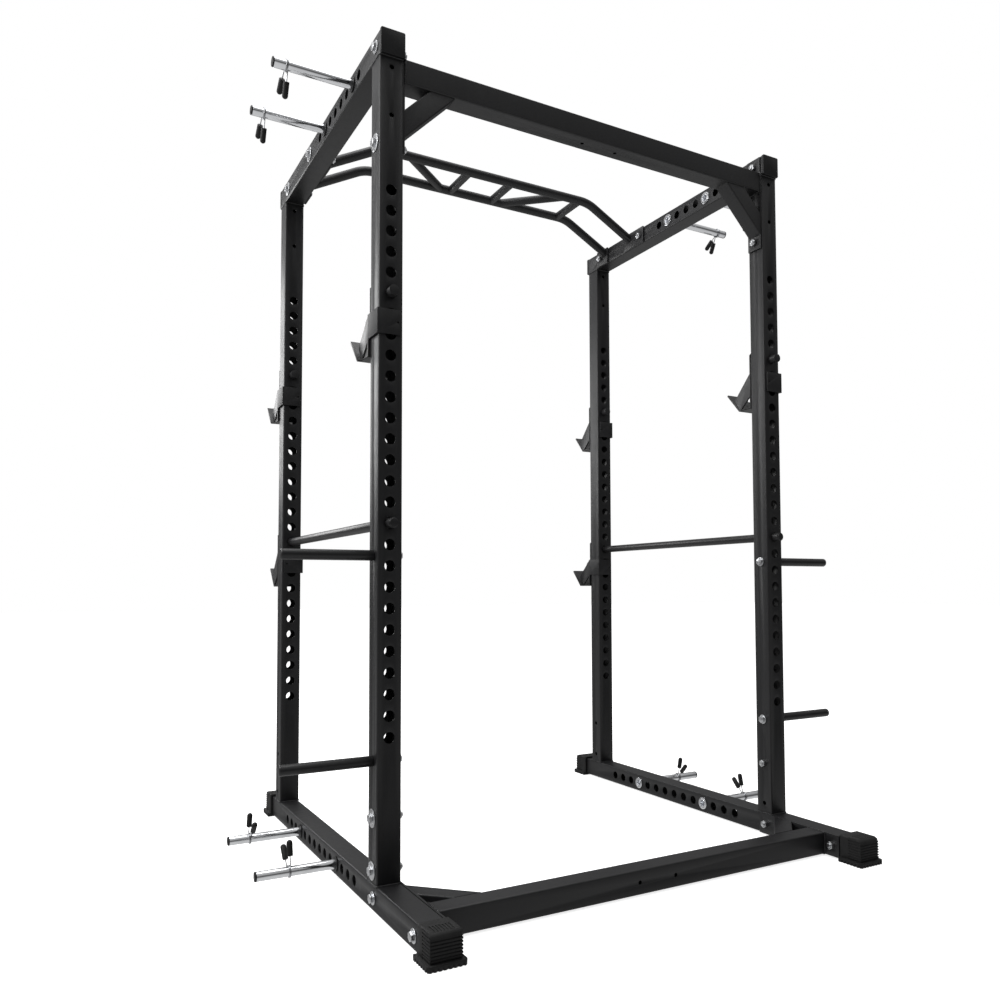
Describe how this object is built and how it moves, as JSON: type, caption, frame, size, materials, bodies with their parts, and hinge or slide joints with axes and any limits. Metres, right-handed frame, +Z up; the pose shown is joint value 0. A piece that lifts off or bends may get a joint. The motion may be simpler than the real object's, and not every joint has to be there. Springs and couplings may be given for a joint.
{
  "type": "power cage",
  "caption": "Four-post square-tube power cage with a multi-grip pull-up bar, safety bars, bar holders, and chrome and black pegs for storing plates.",
  "frame": {"origin": "middle of the footprint, on the floor", "axes": "+Z up, +Y the open front where the holders' cradles point, +X the right"},
  "size_m": [1.734, 1.4184, 2.187],
  "materials": {
    "frame_paint": "satin black powder coat",
    "holder_paint": "satin dark grey powder coat",
    "rubber": "matte moulded rubber",
    "cap_plastic": "matte moulded plastic",
    "chrome": "bright chrome plate",
    "zinc": "bright zinc plate"
  },
  "bodies": {
    "frame": {"upright_rear_left": "frame_paint", "upright_front_left": "frame_paint", "upright_rear_right": "frame_paint", "upright_front_right": "frame_paint", "base_rail_left": "frame_paint", "base_rail_right": "frame_paint", "top_rail_left": "frame_paint", "top_rail_right": "frame_paint", "base_cross_beam": "frame_paint", "base_braces": "frame_paint", "base_end_plates": "frame_paint", "top_cross_beam": "frame_paint", "top_braces": "frame_paint", "top_end_plates": "frame_paint", "pull_up_tube_rear": "frame_paint", "pull_up_tube_front": "frame_paint", "pull_up_rungs": "frame_paint", "pull_up_plates": "frame_paint", "foot_rear_left": "rubber", "foot_front_left": "rubber", "foot_rear_right": "rubber", "foot_front_right": "rubber", "rail_caps": "cap_plastic", "weight_pegs_left": "chrome", "weight_pegs_right": "chrome", "peg_plugs": "cap_plastic", "peg_rings": "chrome", "peg_bushes": "cap_plastic", "plate_pegs": "frame_paint", "plate_peg_bolts": "zinc", "frame_bolts": "zinc", "frame_nuts": "zinc", "small_washers": "zinc", "large_washers": "zinc"},
    "j_hook_rear_upper_left": {"j_hook_rear_upper_left": "holder_paint"},
    "j_hook_front_upper_left": {"j_hook_front_upper_left": "holder_paint"},
    "j_hook_front_lower_left": {"j_hook_front_lower_left": "holder_paint"},
    "safety_bar_left": {"safety_bar_left": "frame_paint"},
    "clip_base_rear_left": {"clip_wire_base_rear_left": "zinc", "clip_grips_base_rear_left": "rubber"},
    "clip_base_front_left": {"clip_wire_base_front_left": "zinc", "clip_grips_base_front_left": "rubber"},
    "clip_top_rear_left": {"clip_wire_top_rear_left": "zinc", "clip_grips_top_rear_left": "rubber"},
    "clip_top_front_left": {"clip_wire_top_front_left": "zinc", "clip_grips_top_front_left": "rubber"},
    "j_hook_rear_upper_right": {"j_hook_rear_upper_right": "holder_paint"},
    "j_hook_front_upper_right": {"j_hook_front_upper_right": "holder_paint"},
    "j_hook_front_lower_right": {"j_hook_front_lower_right": "holder_paint"},
    "safety_bar_right": {"safety_bar_right": "frame_paint"},
    "clip_base_rear_right": {"clip_wire_base_rear_right": "zinc", "clip_grips_base_rear_right": "rubber"},
    "clip_base_front_right": {"clip_wire_base_front_right": "zinc", "clip_grips_base_front_right": "rubber"},
    "clip_top_rear_right": {"clip_wire_top_rear_right": "zinc", "clip_grips_top_rear_right": "rubber"},
    "clip_top_front_right": {"clip_wire_top_front_right": "zinc", "clip_grips_top_front_right": "rubber"}
  },
  "joints": [
    {"name": "j_hook_rear_upper_left_swing", "type": "hinge", "parent": "frame", "child": "j_hook_rear_upper_left", "pos_m": [-0.62, -0.315, 1.452], "axis": [0, 1, 0], "range_deg": [0, 90]},
    {"name": "j_hook_front_upper_left_swing", "type": "hinge", "parent": "frame", "child": "j_hook_front_upper_left", "pos_m": [-0.62, 0.595, 1.452], "axis": [0, 1, 0], "range_deg": [0, 90]},
    {"name": "j_hook_front_lower_left_swing", "type": "hinge", "parent": "frame", "child": "j_hook_front_lower_left", "pos_m": [-0.62, 0.595, 0.902], "axis": [0, -1, 0], "range_deg": [0, 90]},
    {"name": "safety_bar_left_slide", "type": "slide", "parent": "frame", "child": "safety_bar_left", "axis": [0, -1, 0], "range_m": [0, 0.92]},
    {"name": "clip_base_rear_left_slide", "type": "slide", "parent": "frame", "child": "clip_base_rear_left", "axis": [-1, 0, 0], "range_m": [-0.1, 0.1]},
    {"name": "clip_base_front_left_slide", "type": "slide", "parent": "frame", "child": "clip_base_front_left", "axis": [-1, 0, 0], "range_m": [-0.1, 0.1]},
    {"name": "clip_top_rear_left_slide", "type": "slide", "parent": "frame", "child": "clip_top_rear_left", "axis": [-1, 0, 0], "range_m": [-0.1, 0.1]},
    {"name": "clip_top_front_left_slide", "type": "slide", "parent": "frame", "child": "clip_top_front_left", "axis": [-1, 0, 0], "range_m": [-0.1, 0.1]},
    {"name": "j_hook_rear_upper_right_swing", "type": "hinge", "parent": "frame", "child": "j_hook_rear_upper_right", "pos_m": [0.62, -0.315, 1.452], "axis": [0, -1, 0], "range_deg": [0, 90]},
    {"name": "j_hook_front_upper_right_swing", "type": "hinge", "parent": "frame", "child": "j_hook_front_upper_right", "pos_m": [0.62, 0.595, 1.452], "axis": [0, -1, 0], "range_deg": [0, 90]},
    {"name": "j_hook_front_lower_right_swing", "type": "hinge", "parent": "frame", "child": "j_hook_front_lower_right", "pos_m": [0.62, 0.595, 0.902], "axis": [0, 1, 0], "range_deg": [0, 90]},
    {"name": "safety_bar_right_slide", "type": "slide", "parent": "frame", "child": "safety_bar_right", "axis": [0, -1, 0], "range_m": [0, 0.92]},
    {"name": "clip_base_rear_right_slide", "type": "slide", "parent": "frame", "child": "clip_base_rear_right", "axis": [1, 0, 0], "range_m": [-0.1, 0.1]},
    {"name": "clip_base_front_right_slide", "type": "slide", "parent": "frame", "child": "clip_base_front_right", "axis": [1, 0, 0], "range_m": [-0.1, 0.1]},
    {"name": "clip_top_rear_right_slide", "type": "slide", "parent": "frame", "child": "clip_top_rear_right", "axis": [1, 0, 0], "range_m": [-0.1, 0.1]},
    {"name": "clip_top_front_right_slide", "type": "slide", "parent": "frame", "child": "clip_top_front_right", "axis": [1, 0, 0], "range_m": [-0.1, 0.1]}
  ]
}
